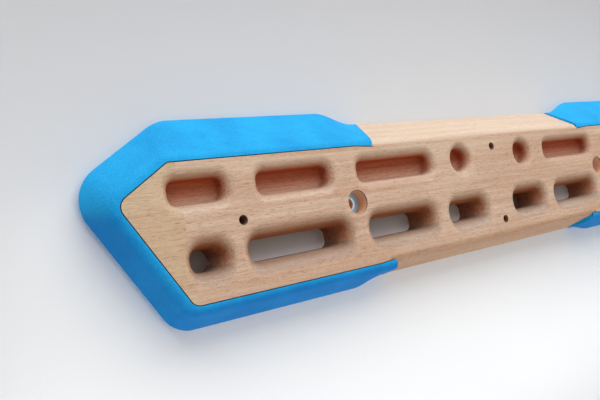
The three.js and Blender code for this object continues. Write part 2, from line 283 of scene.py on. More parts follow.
def seamCorners(upperX, lowerX, gap):
    # the seam of the left cap from its upper lip round the tip to its lower lip, and far round outside
    b, far = board, 2 * board["tipX"]
    upperZ = b["seamHeight"] - cap["upperLip"]["flare"]
    lowerZ = cap["lowerLip"]["flare"] - b["seamHeight"]
    return movedOut([
        corner(-upperX, far),
        corner(-upperX, upperZ, cap["lipCornerRadius"]),
        corner(-upperX - cap["flareLength"], b["seamHeight"], cap["flareRadius"]),
        corner(-b["shoulderX"], b["seamHeight"], b["shoulderRadius"]),
        corner(-b["tipX"], b["tipZ"], b["tipRadius"]),
        corner(-b["heelX"], -b["seamHeight"], b["heelRadius"]),
        corner(-lowerX - cap["flareLength"], -b["seamHeight"], cap["flareRadius"]),
        corner(-lowerX, lowerZ, cap["lipCornerRadius"]),
        corner(-lowerX, -far),
        corner(-far, -far),
        corner(-far, far),
    ], gap)


def capZone(gap):
    over, thick = board["overrun"], board["thickness"]

    def lipAt(lip, y):
        return lip["x"] - lip["slant"] * (y - front) / thick

    def outlineAt(y):
        return outlineOf(seamCorners(lipAt(cap["upperLip"], y), lipAt(cap["lowerLip"], y), gap))

    return block("zone", outlineAt(front - over), front - over, over, outlineAt(over))


def ease(share):
    share = min(max(share, 0), 1)
    return share * share * (3 - 2 * share)


def outAt(overhang, y):
    # how far a cap stands out from the seam at a depth: two roundings and their common tangent
    rf, rb = cap["frontRounding"], cap["backRounding"]
    frontCentre = Vector((cap["land"], front + rf))
    backCentre = Vector((overhang - rb, -rb))
    between = backCentre - frontCentre
    slope = math.atan2(between.y, between.x) + math.pi / 2 - math.acos((rf - rb) / between.length)
    normal = Vector((math.sin(slope), -math.cos(slope)))
    leave, meet = frontCentre + normal * rf, backCentre + normal * rb
    if y < leave.y:
        return frontCentre.x + math.sqrt(max(rf ** 2 - (y - frontCentre.y) ** 2, 0))
    if y > meet.y:
        return backCentre.x + math.sqrt(max(rb ** 2 - (y - backCentre.y) ** 2, 0))
    return leave.x + (meet.x - leave.x) * (y - leave.y) / (meet.y - leave.y)


def capDepths(steps=10):
    angles = quarterTurn(steps)
    return ([front + cap["frontRounding"] * (1 - math.cos(angle)) for angle in angles]
            + [-cap["backRounding"] * (1 - math.sin(angle)) for angle in angles])


def rampLine(lip, full, side, outOf, steps=24):
    # a lip's edge from its inner end, and up the ramp to the full overhang
    innerZ = side * (board["seamHeight"] + outOf(lip["overhang"]))
    line = [Vector((cap["flareLength"] - lip["rampEnd"], innerZ))]
    for step in range(steps + 1):
        share = step / steps
        out = outOf(lip["overhang"] + (full - lip["overhang"]) * ease(share))
        x = -(lip["rampEnd"] + (lip["rampStart"] - lip["rampEnd"]) * share)
        line.append(Vector((x, side * (board["seamHeight"] + out))))
    return line


def capLine(y, outOf, steps=24):
    # once round the left cap at one depth, from its upper inner end by the tip to its lower one
    top, upperSide, lowerSide, bottom = cap["overhangs"]
    distances = [outOf(full) for full in (top, upperSide, lowerSide, bottom, top, top)]
    shoulder, tip, heel = movedOut(coreCorners(), distances)[1:4]
    upper = rampLine(cap["upperLip"], top, 1, outOf)
    lower = rampLine(cap["lowerLip"], bottom, -1, outOf)
    bends = [(upper[-1], 0), shoulder, tip, heel, (lower[-1], 0)]
    middle = roundedPath(bends, closed=False, steps=steps)[1:-1]
    line = upper + [point for point, normal in middle] + lower[::-1]
    return [(point.x, y, point.y) for point in line]


def capShell():
    def inside(overhang):
        return -board["overrun"]

    lines = [capLine(front, inside)]
    for y in capDepths():
        lines.append(capLine(y, lambda overhang: outAt(overhang, y)))
    lines.append(capLine(0, inside))
    return skin("endCapLeft", [[line[i] for line in lines] for i in range(len(lines[0]))])


def flangeBand(gap):
    # the left cap's flange, or with a gap the bed for it in the wood
    near = -cap["flangeThickness"] - gap
    over, far = board["overrun"], 2 * board["tipX"]
    inward = outlineOf(movedOut(coreCorners(), -cap["flangeWidth"] - gap))
    outer = block("band", outlineOf(movedOut(coreCorners(), over)), near, gap)
    inner = block("bandHole", inward, near - over, over)
    reach = box("bandReach", -far, -cap["flangeEnd"] + gap, near - over, over, -far, far)
    worked(outer, [inner])
    return worked(outer, [reach], "INTERSECT")


def seamGroove(steps=16):
    # a shallow vee along the seam at the front face, which takes the sharpness off both edges
    seam = seamCorners(cap["upperLip"]["x"], cap["lowerLip"]["x"], board["jointGap"] / 2)
    half = cap["grooveHalf"]
    deep = half * cap["grooveSteepness"]
    rings = []
    for point, normal in roundedPath(seam[1:8], closed=False, steps=steps):
        left, right = point - normal * half, point + normal * half
        rings.append([(left.x, front, left.y), (point.x, front + deep, point.y),
                      (right.x, front, right.y), (point.x, front - deep, point.y)])
    return skin("groove", rings)


def leftCap():
    piece = capShell()
    worked(piece, [capZone(board["jointGap"])], "INTERSECT")
    worked(piece, [flangeBand(0)], "UNION")
    return piece


endCapLeft = leftCap()
endCapRight = mirrored(endCapLeft, "endCapRight")
print("end caps shaped")


# Wooden core

core = {
    "upperEdge": (52, 78),  # z of the bevel's front corner and of its back one, before they are rounded
    "lowerEdge": (-51, -63.6),
    "frontRounding": 8, "backRounding": 3,
}

# The straight part's z, height and corner radius, its elliptical lip, then x and length of each.
# The ones without a depth go right through.
pockets = {
    "upper": {"z": 28.8, "height": 17.5, "corner": 6.5, "lip": 9, "endLip": 9, "lipDepth": 9,
              "depth": 15, "floor": 4, "places": [(330, 43), (244.7, 67.5), (134.5, 87)]},
    "single": {"z": 29.1, "height": 21.5, "corner": 10.75, "lip": 8, "endLip": 8, "lipDepth": 9,
               "depth": 15, "floor": 4, "places": [(48.8, 21.5)]},
    "lower": {"z": -20.6, "height": 16.5, "corner": 6, "lip": 12, "endLip": 14, "lipDepth": 18,
              "depth": None, "places": [(247.5, 88.5), (135.8, 71), (48.8, 43.5)]},
    "end": {"z": -20.6, "height": 16.5, "corner": 8.25, "lip": 12, "endLip": 10.5, "lipDepth": 18,
            "depth": None, "places": [(328.7, 24.5)]},
}

holes = {
    "bolt": {"x": 187, "z": 3.5, "counterboreRadius": 10, "counterboreDepth": 13.5, "boreRadius": 5.5,
             "chamfer": 0.3},
    # the outer pair's places come first, then the two on the middle line
    "screw": {"radius": 3.25, "chamfer": 0.6, "sides": 40,
              "places": [(-298.5, 3.2), (298.5, 3.2), (0, 38.6), (0, -35.6)]},
}


def coreBlank():
    # the board before its holes, with the caps' place cut out of its ends
    over, far = board["overrun"], 2 * board["tipX"]
    upper, lower = core["upperEdge"], core["lowerEdge"]
    profile = outlineOf([
        corner(front, upper[0], core["frontRounding"]),
        corner(front, lower[0], core["frontRounding"]),
        corner(0, lower[1], core["backRounding"]),
        corner(0, upper[1], core["backRounding"]),
    ], steps=14)
    reach = cap["upperLip"]["x"] + cap["flareLength"]
    blank = skin("core", [[(x, p.x, p.y) for p in profile] for x in (-reach, reach)])
    cornerX = cap["upperLip"]["x"] + cap["lipCornerRadius"]
    for side in (-1, 1):
        end = block("end", outlineOf(coreCorners()), front, 0)
        x0, x1 = sorted((side * cornerX, side * far))
        worked(end, [box("half", x0, x1, front - over, over, -far, far)], "INTERSECT")
        worked(blank, [end], "UNION")
    zone = capZone(0)
    return worked(blank, [zone, mirrored(zone, "zoneRight")])


def pocketRing(x, z, halfLength, halfHeight, radius, depth, steps):
    # a rectangle with rounded corners, or a circle where these meet
    radius = min(radius, halfLength, halfHeight)
    along, up = halfLength - radius, halfHeight - radius
    ring = []
    for quarter in range(4):
        toRight = 1 if quarter in (0, 1) else -1
        toTop = 1 if quarter in (0, 3) else -1
        for step in range(steps + 1):
            angle = math.pi / 2 * (1 - quarter - step / steps)
            ring.append((x + toRight * along + radius * math.cos(angle), front + depth,
                         z + toTop * up + radius * math.sin(angle)))
    return ring


def pocketCutter(x, length, row, steps=14, lipSteps=12, floorSteps=8):
    def ring(endways, upways, depth):
        return pocketRing(x, row["z"], length / 2 + endways, row["height"] / 2 + upways,
                          row["corner"] + endways, depth, steps)

    endLip, lip, into, over = row["endLip"], row["lip"], row["lipDepth"], board["overrun"]
    rings = [ring(endLip, lip, -over)]
    for angle in quarterTurn(lipSteps):
        share = 1 - math.sin(angle)
        rings.append(ring(endLip * share, lip * share, into * (1 - math.cos(angle))))
    if row["depth"]:
        for angle in quarterTurn(floorSteps):
            inward = row["floor"] * (1 - math.cos(angle))
            rings.append(ring(-inward, -inward, row["depth"] - row["floor"] * (1 - math.sin(angle))))
    else:
        rings.append(ring(0, 0, board["thickness"] + over))
    return skin("pocket", rings)


def pocketCutters():
    cutters = []
    for row in pockets.values():
        for x, length in row["places"]:
            cutters += [pocketCutter(side * x, length, row) for side in (-1, 1)]
    return cutters


def boreCutters():
    over, bolt, screw = board["overrun"], holes["bolt"], holes["screw"]
    seat = front + bolt["counterboreDepth"]
    wide, narrow, broken = bolt["counterboreRadius"], bolt["boreRadius"], bolt["chamfer"]
    boltBore = [
        (0, front - over), (wide + over + broken, front - over), (wide, front + broken),
        (wide, seat), (narrow, seat), (narrow, over), (0, over),
    ]
    small, broken = screw["radius"], screw["chamfer"]
    screwBore = [
        (0, front - over), (small + broken + over, front - over), (small, front + broken),
        (small, over), (0, over),
    ]
    cutters = [turned("boltBore", boltBore, side * bolt["x"], bolt["z"]) for side in (-1, 1)]
    cutters += [turned("screwBore", screwBore, x, z, screw["sides"]) for x, z in screw["places"]]
    return cutters


capScrew = {
    "length": 16, "point": 4, "sides": 40,
    "shank": 2.2, "thread": 0.35, "pitch": 2.1,  # radius over the thread, and its depth
    "turn": (0.2, 0.75, 0.9, 1.45),  # where a thread rises and falls, along its pitch
    "headRadius": 4.3, "headHeight": 2.8, "headEdge": 0.25, "headBevel": 0.2, "neck": 0.4,
    "socketRadius": 1.9, "socketDepth": 1.6, "socketPoint": 0.5,
    "inset": 6, "innerX": 214, "outerX": 305,  # in from the seam, and along the board
}


def screwPlaces():
    line = board["seamHeight"] - capScrew["inset"]
    tip = movedOut(coreCorners(), -capScrew["inset"])[2][0]
    inner, outer = capScrew["innerX"], capScrew["outerX"]
    return [(-inner, line), (-outer, line), (tip.x, tip.y), (-outer, -line), (-inner, -line)]


def screwWay(x, z):
    # the hole that a cap screw stands in
    s, gap, over = capScrew, board["jointGap"], board["overrun"]
    shank, head = s["shank"] + gap, s["headRadius"] + gap
    return turned("screwWay", [
        (0, -s["length"] - gap), (shank, s["point"] - s["length"] - gap),
        (shank, -s["headHeight"]), (head, 0), (head, over), (0, over),
    ], x, z, s["sides"])


def screwWays():
    return [screwWay(side * x, z) for x, z in screwPlaces() for side in (1, -1)]


def woodenCore():
    whole = coreBlank()
    worked(whole, pocketCutters())
    worked(whole, boreCutters())
    band = flangeBand(board["jointGap"])
    worked(whole, [band, mirrored(band, "bandRight")])
    worked(whole, screwWays())
    groove = seamGroove()
    worked(whole, [groove, mirrored(groove, "grooveRight")])
    return whole


def stave(whole, name, x0, x1):
    piece = bpy.data.objects.new(name, whole.data.copy())
    bpy.context.scene.collection.objects.link(piece)
    over, far = board["overrun"], 2 * board["tipX"]
    return worked(piece, [box("stave", x0, x1, front - over, over, -far, far)], "INTERSECT")


def woodenStaves():
    whole = woodenCore()
    glue, far = board["glueJointX"], 2 * board["tipX"]
    staves = [
        stave(whole, "woodMiddle", -glue, glue),
        stave(whole, "woodLeftEnd", -far, -glue),
        stave(whole, "woodRightEnd", glue, far),
    ]
    drop([whole])
    return staves


woodMiddle, woodLeftEnd, woodRightEnd = woodenStaves()
print("wooden core carved")


# Steel

washer = {
    "thickness": 2, "holeRadius": 5.25, "sides": 72,
    "edge": 0.35, "edgeMiddle": 0.3,  # rounding of its edges, and how far in the middle of that lies
}


def boltWasher(name, x):
    bolt, edge = holes["bolt"], washer["edge"]
    seat = front + bolt["counterboreDepth"]
    outer, inner = bolt["counterboreRadius"] - board["jointGap"], washer["holeRadius"]
    top, bend = seat - washer["thickness"], edge * washer["edgeMiddle"]
    return turned(name, [
        (inner, top + edge), (inner + bend, top + bend), (inner + edge, top),
        (outer - edge, top), (outer - bend, top + bend), (outer, top + edge),
        (outer, seat), (inner, seat),
    ], x, bolt["z"], washer["sides"])


def woodScrew(name, x, z):
    # countersunk head with a six-sided socket, and a wood thread on the shank
    s = capScrew
    shank, head, top = s["shank"], s["headRadius"], -s["headHeight"]
    root = shank - s["thread"]
    y = s["point"] - s["length"]
    profile = [(0, -s["length"]), (root, y)]
    for turn in range(int((top - y) / s["pitch"])):
        start = y + turn * s["pitch"]
        profile += [(radius, start + along) for radius, along in zip((root, shank, shank, root), s["turn"])]
    profile += [(root, top - s["neck"]), (shank, top), (head, -s["headEdge"]),
                (head - s["headBevel"], 0), (0, 0)]
    piece = turned(name, profile, x, z, s["sides"])
    wide, deep, over = s["socketRadius"], s["socketDepth"], board["overrun"]
    socket = turned("socket", [
        (0, -deep - s["socketPoint"]), (wide, -deep), (wide, over), (0, over),
    ], x, z, sides=6)
    return worked(piece, [socket])


# the caps get the holes for their screws, and their half of the softened seam
for piece in (endCapLeft, endCapRight):
    worked(piece, screwWays())
groove = seamGroove()
worked(endCapRight, [mirrored(groove, "grooveRight")])
worked(endCapLeft, [groove])

boltX = holes["bolt"]["x"]
washers = [boltWasher("boltWasherLeft", -boltX), boltWasher("boltWasherRight", boltX)]
screws = []  # each with the solid that it stands for
for i, (x, z) in enumerate(screwPlaces(), 1):
    screws.append((woodScrew(f"capScrewLeft{i}", x, z), f"cap_screw_left_{i}"))
    screws.append((woodScrew(f"capScrewRight{i}", -x, z), f"cap_screw_right_{i}"))
print("washers and screws made")


# Shader kit

class Wire:
    # a socket's value that takes part in sums
    def __init__(self, finish, socket):
        self.finish, self.socket = finish, socket

    def maths(self, how, first, second=0.0):
        return self.finish.node("Math", {"operation": how}, {0: first, 1: second})

    def __add__(self, other):
        return self.maths("ADD", self, other)

    __radd__ = __add__

    def __mul__(self, other):
        return self.maths("MULTIPLY", self, other)

    __rmul__ = __mul__

    def __sub__(self, other):
        return self.maths("SUBTRACT", self, other)

    def __rsub__(self, other):
        return self.maths("SUBTRACT", other, self)

    def __gt__(self, other):
        return self.maths("GREATER_THAN", self, other)

    def __abs__(self):
        return self.maths("ABSOLUTE", self)


class Finish:
    # a material while its nodes are put together
    def __init__(self, name):
        self.material = bpy.data.materials.new(name)
        self.material.use_nodes = True
        self.tree = self.material.node_tree
        self.tree.nodes.clear()
        self.where = self.node("TexCoord", out="Object")

    def node(self, kind, settings=None, sockets=None, out=0):
        made = self.tree.nodes.new("ShaderNode" + kind)
        for key, value in (settings or {}).items():
            setattr(made, key, value)
        for key, value in (sockets or {}).items():
            if isinstance(value, Wire):
                self.tree.links.new(value.socket, made.inputs[key])
            else:
                made.inputs[key].default_value = value
        return Wire(self, made.outputs[out]) if made.outputs else None

    def axes(self, vector):
        return [self.node("SeparateXYZ", {}, {0: vector}, axis) for axis in range(3)]

    def noise(self, stretch, detail, rough=0.5, bend=0):
        # per millimetre, and drawn out along an axis where its number is small
        factors = tuple(factor / mm for factor in stretch)
        place = self.node("VectorMath", {"operation": "MULTIPLY"}, {0: self.where, 1: factors})
        return self.node("TexNoise", {}, {"Vector": place, "Scale": 1, "Detail": detail,
                                          "Roughness": rough, "Distortion": bend})

    def between(self, value, low, high, start=0, end=1, how="SMOOTHSTEP"):
        return self.node("MapRange", {"interpolation_type": how},
                         {0: value, 1: low, 2: high, 3: start, 4: end})

    def inCircle(self, across, up, radius, soft):
        # 1 in the circle, falling to 0 over a soft rim outside it
        return self.between(across * across + up * up, (radius + soft) ** 2, radius ** 2)

    def blended(self, share, first, second, how="MIX"):
        # inputs 6 and 7 and output 2 are the Mix node's colours
        return self.node("Mix", {"data_type": "RGBA", "blend_type": how}, {0: share, 6: first, 7: second}, 2)

    def bump(self, height, distance, strength):
        return self.node("Bump", {}, {"Height": height, "Distance": distance * mm, "Strength": strength})

    def surface(self, **sockets):
        named = {key.replace("_", " "): value for key, value in sockets.items()}
        self.node("OutputMaterial", {}, {"Surface": self.node("BsdfPrincipled", {}, named)})
        return self.material


def colour(text, factor=1):
    # linear light from the six digits of a screen colour
    parts = [int(text[i:i + 2], 16) / 255 for i in (0, 2, 4)]
    linear = [p / 12.92 if p < 0.04045 else ((p + 0.055) / 1.055) ** 2.4 for p in parts]
    return (*(p * factor for p in linear), 1)


# Finishes. A range gives the value where a shade starts and the one where it is full, and
# sometimes its shares there. Noises are given as stretch, detail, roughness and distortion.

zones = {
    "offBack": (0.6, 0.3),  # off the flat back, by how much a surface faces the wall
    "front": (5, 6),  # millimetres below the top bevel's front corner
    "seamSlope": (-0.8, -0.7),  # the groove along the seam is steeper than the face round it
    "seamFoot": (1.3, 1.1), "seamHead": (0.05, 0.15),  # and lies between these depths
    "bore": {"wider": 0.6, "soft": 0.5, "depth": (0.3, 1.5)},
    "hole": {"wider": 0.9, "soft": 1, "depth": (0.4, 2.5)},
}


class Place:
    # where a spot of the board is, in millimetres, and which way its surface faces
    def __init__(self, f):
        self.x, self.y, self.z = (part * (1 / mm) for part in f.axes(f.where))
        self.depth = self.y - front
        self.endways, self.backwards, self.upright = f.axes(f.node("NewGeometry", out="Normal"))
        self.offBack = f.between(self.backwards, *zones["offBack"])
        self.onFront = f.between(abs(self.z), *(core["upperEdge"][0] - below for below in zones["front"]))


# painted shadow in the groove along the seam, for the wood and the caps
def seamDirt(f, at):
    onSlope = f.between(at.backwards, *zones["seamSlope"])
    return onSlope * f.between(at.depth, *zones["seamFoot"]) * f.between(at.depth, *zones["seamHead"])


# where the counterbores are, for their painted light
def inBolt(f, at):
    bolt, bore = holes["bolt"], zones["bore"]
    radius = bolt["counterboreRadius"] + bore["wider"]
    near = f.inCircle(abs(at.x) - bolt["x"], at.z - bolt["z"], radius, bore["soft"])
    return near * f.between(at.depth, *bore["depth"]) * at.offBack


# where the screw holes are, for their painted shade
def inScrewHole(f, at):
    # one circle for the two outer holes, and one for the two on the middle line
    hole = zones["hole"]
    radius = holes["screw"]["radius"] + hole["wider"]
    (outer, outerZ), (middle, upperZ), (_, lowerZ) = holes["screw"]["places"][1:]
    byOuter = f.inCircle(abs(at.x) - outer, at.z - outerZ, radius, hole["soft"])
    up = abs(at.z - (upperZ + lowerZ) / 2) - (upperZ - lowerZ) / 2
    byMiddle = f.inCircle(at.x - middle, up, radius, hole["soft"])
    return (byOuter + byMiddle) * f.between(at.depth, *hole["depth"]) * at.offBack


grain = {
    "broad": ((0.004, 0.03, 0.03), 3, 0.55, 0.3),
    "bands": ((0.006, 0.3, 0.3), 4, 0.6, 0.5),
    "fibre": ((0.06, 2.6, 2.6), 3, 0.6),
    "dashes": ((0.16, 1.7, 1.7), 2),
    "pores": ((0.5, 4.5, 4.5), 1),
    "cutMarks": ((2.4, 0.2, 0.6), 2),
}

wood = {
    "pale": "e3c5ab", "tan": "cda183",
    "endPale": "dec2a1", "endTan": "cca481",
    "endShift": (0.31, 0.27, 0.19),  # metres, so that the end staves don't go on with the middle's grain
    "bandWeight": 0.55, "broadWeight": 0.45, "tanRange": (0.36, 0.62), "tanShare": 0.75,
    "fleck": "8a5a3e", "fleckRange": (0.56, 0.66), "fleckShare": 0.36,
    "fibreRange": (0.42, 0.75, 0, 0.3),
    "pore": "6d4028", "poreRange": (0.6, 0.7, 0, 0.4),
    "endGrain": "b0724c", "endGrainRange": (0.3, 1.0, 0, 0.45),
    "cutRange": (0.52, 0.66), "cutFacing": (0.25, 0.6), "cutShare": 0.45,  # marks of the cutter at slot ends
    "roughness": (0.3, 0.7, 0.5, 0.66),
    "fibreRelief": 0.5, "fleckRelief": 0.6, "relief": (0.12, 0.5),  # depth in millimetres and strength
}

# Painted light and shade in the wood's colour: darker and redder where the light comes in badly, paler where
# it falls full, and painted shadow in the seam and the screw holes.
shade = {
    "upperHollow": (0.68, 0.2, 0.075, 1),  # painted shade deep in the upper pockets
    "lowerHollow": (0.62, 0.34, 0.2, 1),  # and painted shade in the lower slots
    "hollowDepth": (0.3, 8.5),  # millimetres behind the front face
    "hollowRise": (-0.7, 0.4, 0.24, 1.0),  # from the bottom of a pocket to its top, in pocket heights
    "underShade": (0.86, 0.76, 0.68, 1), "underFacing": (-0.05, -0.9),  # painted shade on lips that face down
    "over": (0.87, 0.94, 1.0, 1), "overFacing": (0.05, 0.7),  # painted light on lips that face up, less red
    "lowerLip": (0.78, 0.79, 0.82, 1), "lowerLipFacing": (0.03, 0.35),  # painted shade on the lower slots' bottom lips
    "lowerLipDrop": 4, "lowerLipReach": (8, 6),  # millimetres below the slots, and up and down from there
    "topBand": "ecd3b8", "topBandReach": (16, 2), "topBandShare": 0.4,  # paler strip below the top bevel
    "sloper": (0.89, 0.965, 0.975, 1), "sloperFacing": (0.15, 0.5),  # painted sheen on the top bevel, less red
    # painted highlight on the top bevel
    "sloperHighlight": "f1ddc9", "sloperHighlightShare": 0.3,
    # painted shade on the bottom bevel, which faces down
    "bottomEdgeShade": (0.97, 0.87, 0.76, 1), "bottomFacing": (-0.1, -0.3),
    "seamShadowTint": "161a1f", "seamShadowShare": 0.85,  # painted shadow in the seam
    "boreGlow": "ffc49a", "boreGlowShare": 0.7,  # painted light in the counterbores, paler and warmer
    "holeShade": "703318", "holeShadeShare": 0.75,  # painted shade in the screw holes
}


def pocketShade(f, at, base):
    # painted shade: deeper in a pocket the wood is painted redder and darker, most of all at the pocket's
    # top
    upper, lower = pockets["upper"], pockets["lower"]
    isUpper = at.z > (upper["z"] + lower["z"]) / 2
    height = (at.z - (isUpper * (upper["z"] - lower["z"]) + lower["z"])) * (1 / upper["height"])
    inside = at.onFront * at.offBack * f.between(at.depth, *shade["hollowDepth"])
    share = inside * f.between(height, *shade["hollowRise"])
    tint = f.blended(isUpper, shade["lowerHollow"], shade["upperHollow"])
    return f.blended(share, base, tint, "MULTIPLY")


def beechShade(f, at, base):
    # the paler strip below the top bevel, and painted light and shade on pockets, lips, bevels, seam and
    # holes
    topZ, lower = core["upperEdge"][0], pockets["lower"]
    lipZ = lower["z"] - lower["height"] / 2 - shade["lowerLipDrop"]
    onEdge = 1 - at.onFront
    topBand = f.between(at.z, *(topZ - below for below in shade["topBandReach"])) * at.onFront
    underShade = f.between(at.upright, *shade["underFacing"]) * at.onFront
    over = f.between(at.upright, *shade["overFacing"]) * at.onFront
    onLip = (f.between(abs(at.z - lipZ), *shade["lowerLipReach"])
             * f.between(at.upright, *shade["lowerLipFacing"]))
    onSloper = f.between(at.upright, *shade["sloperFacing"]) * onEdge
    onBottom = f.between(at.upright, *shade["bottomFacing"]) * onEdge
    base = f.blended(topBand * shade["topBandShare"], base, colour(shade["topBand"]))
    base = pocketShade(f, at, base)
    base = f.blended(underShade, base, shade["underShade"], "MULTIPLY")
    base = f.blended(over, base, shade["over"], "MULTIPLY")
    base = f.blended(onLip, base, shade["lowerLip"], "MULTIPLY")
    base = f.blended(onSloper, base, shade["sloper"], "MULTIPLY")
    base = f.blended(onSloper * shade["sloperHighlightShare"], base, colour(shade["sloperHighlight"]))
    base = f.blended(onBottom, base, shade["bottomEdgeShade"], "MULTIPLY")
    base = f.blended(seamDirt(f, at) * shade["seamShadowShare"], base, colour(shade["seamShadowTint"]))
    base = f.blended(inBolt(f, at) * shade["boreGlowShare"], base, colour(shade["boreGlow"]))
    return f.blended(inScrewHole(f, at) * shade["holeShadeShare"], base, colour(shade["holeShade"]))


def beech(name, pale, tan, shift):
    f = Finish(name)
    at = Place(f)
    f.where = f.node("VectorMath", {"operation": "ADD"}, {0: f.where, 1: shift})
    broad, bands, fibre, dashes, pores, cutMarks = (f.noise(*noise) for noise in grain.values())
    flecks = f.between(dashes, *wood["fleckRange"])
    tone = f.between(bands * wood["bandWeight"] + broad * wood["broadWeight"], *wood["tanRange"])
    cuts = f.between(cutMarks, *wood["cutRange"]) * f.between(abs(at.endways), *wood["cutFacing"])
    base = f.blended(tone * wood["tanShare"], colour(pale), colour(tan))
    for share, tint in [
        (f.between(fibre, *wood["fibreRange"]), "fleck"),
        (flecks * wood["fleckShare"], "fleck"),
        (f.between(pores, *wood["poreRange"]), "pore"),
        (f.between(abs(at.endways), *wood["endGrainRange"]), "endGrain"),
        (cuts * wood["cutShare"], "pore"),
    ]:
        base = f.blended(share, base, colour(wood[tint]))
    relief = fibre * wood["fibreRelief"] - flecks * wood["fleckRelief"]
    return f.surface(Base_Color=beechShade(f, at, base), Roughness=f.between(fibre, *wood["roughness"]),
                     Specular_IOR_Level=0.3, Normal=f.bump(relief, *wood["relief"]))


resin = {
    "blue": "14aaea", "deep": "069cde", "deepRange": (0.3, 0.7),
    "streak": "0b86c8", "streakRange": (0.5, 0.75, 0, 0.3),
    "chalk": "86d4f4", "chalkRange": (0.52, 0.7, 0, 0.35),
    "underShade": (0.5, 0.68, 0.9, 1), "underFacing": (0.1, -0.7),  # painted shade on surfaces that face down
    "seam": "0c2234", "seamShare": 0.95,  # painted shadow along the seam at the front
    "grit": ((1.1, 1.1, 1.1), 5, 0.7),
    "patch": ((0.1, 0.25, 0.25), 4, 0.62),
    "cloud": ((0.03, 0.03, 0.03), 3),
    "roughness": (0.3, 0.7, 0.72, 0.92),
    "relief": (0.35, 0.6),  # depth in millimetres and strength
}


def castBlue():
    f = Finish("castBlue")
    at = Place(f)
    grit, patch, cloud = (f.noise(*resin[key]) for key in ("grit", "patch", "cloud"))
    underShade = f.between(at.upright, *resin["underFacing"])
    base = f.blended(f.between(cloud, *resin["deepRange"]), colour(resin["blue"]), colour(resin["deep"]))
    base = f.blended(f.between(patch, *resin["streakRange"]), base, colour(resin["streak"]))
    base = f.blended(f.between(grit, *resin["chalkRange"]), base, colour(resin["chalk"]))
    # painted shade underneath and painted shadow along the seam
    base = f.blended(underShade, base, resin["underShade"], "MULTIPLY")
    base = f.blended(seamDirt(f, at) * resin["seamShare"], base, colour(resin["seam"]))
    return f.surface(Base_Color=base, Roughness=f.between(grit, *resin["roughness"]),
                     Specular_IOR_Level=0.25, Normal=f.bump(grit, *resin["relief"]))


metals = {
    "lines": ((2, 2, 2), 3, 0.6), "roughness": (0.3, 0.7, 0.28, 0.45),
    "relief": (0.03, 0.4),  # depth in millimetres and strength
    "patches": ((0.2, 0.2, 0.2), 3, 0.6), "patchRange": (0.4, 0.7, 0, 0.3), "patchFactor": 0.6,
}
screwZinc = {"tint": "b9b6ac", "metallic": 1}
washerSteel = {
    # the tint's blue is a painted reflection of the blue caps
    "tint": "a3c6da", "metallic": 0.35,
    "glow": (0.03, 0.11, 0.18, 1), "rimGlow": (0.85, 0.95, 1, 1), "strength": 0.45,  # painted light given off as a blue glow, and a painted highlight at the hole's rim
    "rimWidth": 0.05, "rimSoft": 0.5,
}


def metal(name, look):
    f = Finish(name)
    lines, patches = f.noise(*metals["lines"]), f.noise(*metals["patches"])
    tint, duller = colour(look["tint"]), colour(look["tint"], metals["patchFactor"])
    sockets = {
        "Base_Color": f.blended(f.between(patches, *metals["patchRange"]), tint, duller),
        "Metallic": look["metallic"],
        "Roughness": f.between(lines, *metals["roughness"]),
        "Normal": f.bump(lines, *metals["relief"]),
    }
    if "glow" in look:
        # the washers' painted glow and the painted highlight at the hole's rim
        at, bolt = Place(f), holes["bolt"]
        radius = washer["holeRadius"] + look["rimWidth"]
        onRim = f.inCircle(abs(at.x) - bolt["x"], at.z - bolt["z"], radius, look["rimSoft"])
        sockets["Emission_Color"] = f.blended(onRim, look["glow"], look["rimGlow"])
        sockets["Emission_Strength"] = look["strength"]
    return f.surface(**sockets)


# Colours are the paint's, with painted light and shade in them, and places are in metres.
wall = {
    "grey": (0.5, 0.5, 0.5, 1), "patches": ((0.004, 0.004, 0.004), 3), "patchRange": (0.35, 0.65, 0, 0.03),
    "roughness": 0.9,
    # painted light: paler towards the bottom, greyer towards the top
    "low": (0.9, 0.91, 0.92, 1), "high": (0.55, 0.545, 0.56, 1), "heights": (-0.06, 0.25),
    "far": (0.9, 0.9, 0.9, 1), "farX": (-0.1, 0.7),  # painted shade: what is left of it further and further right
    "near": (1, 1, 1, 1), "nearShare": 0.8,  # painted light, paler round the board's left half
    "nearZ": -0.06, "nearReach": (0.13, 0.03), "nearRight": (0.2, -0.1), "nearLeft": (-0.5, -0.42),
    "shady": (0.46, 0.4, 0.35, 1), "bright": (1, 1, 1, 1),  # painted shade and light behind the slots, at their top and bottom
    "shortSlotShadow": (0.3, 0.24, 0.2, 1),  # painted shadow: what is left behind the short slot right of the middle
    "shortX": 0.04, "shortReach": (0.05, 0.042), "shortSoft": 0.002,
    "end": (0.62, 0.58, 0.55, 1), "endInwards": (0.03, 0.026),  # and painted shade behind the end slots
    "glow": (0.085, 0.082, 0.085, 1),  # painted light, given off behind the other slots as if it got in from below
    "coverSoft": 0.004,
}
black = (0, 0, 0, 1)


# the painted shade, light and glow on the wall behind the slots
def behindSlots(f, x, z, covered):
    lower = pockets["lower"]
    middle, half = lower["z"] * mm, lower["height"] / 2 * mm
    endX = pockets["end"]["places"][0][0] * mm
    base = f.blended(f.between(z, middle + half, middle - half, how="LINEAR"), wall["shady"], wall["bright"])
    atShort = (f.between(abs(x - wall["shortX"]), *wall["shortReach"])
               * f.between(abs(z - middle), half + wall["shortSoft"], half))
    atEnd = f.between(abs(x), *(endX - inwards for inwards in wall["endInwards"]))
    base = f.blended(atShort, base, wall["shortSlotShadow"], "MULTIPLY")
    base = f.blended(atEnd, base, wall["end"], "MULTIPLY")
    low = f.between(z, middle, middle - half) * covered * (1 - atEnd) * (1 - atShort)
    return base, f.blended(low, black, wall["glow"])


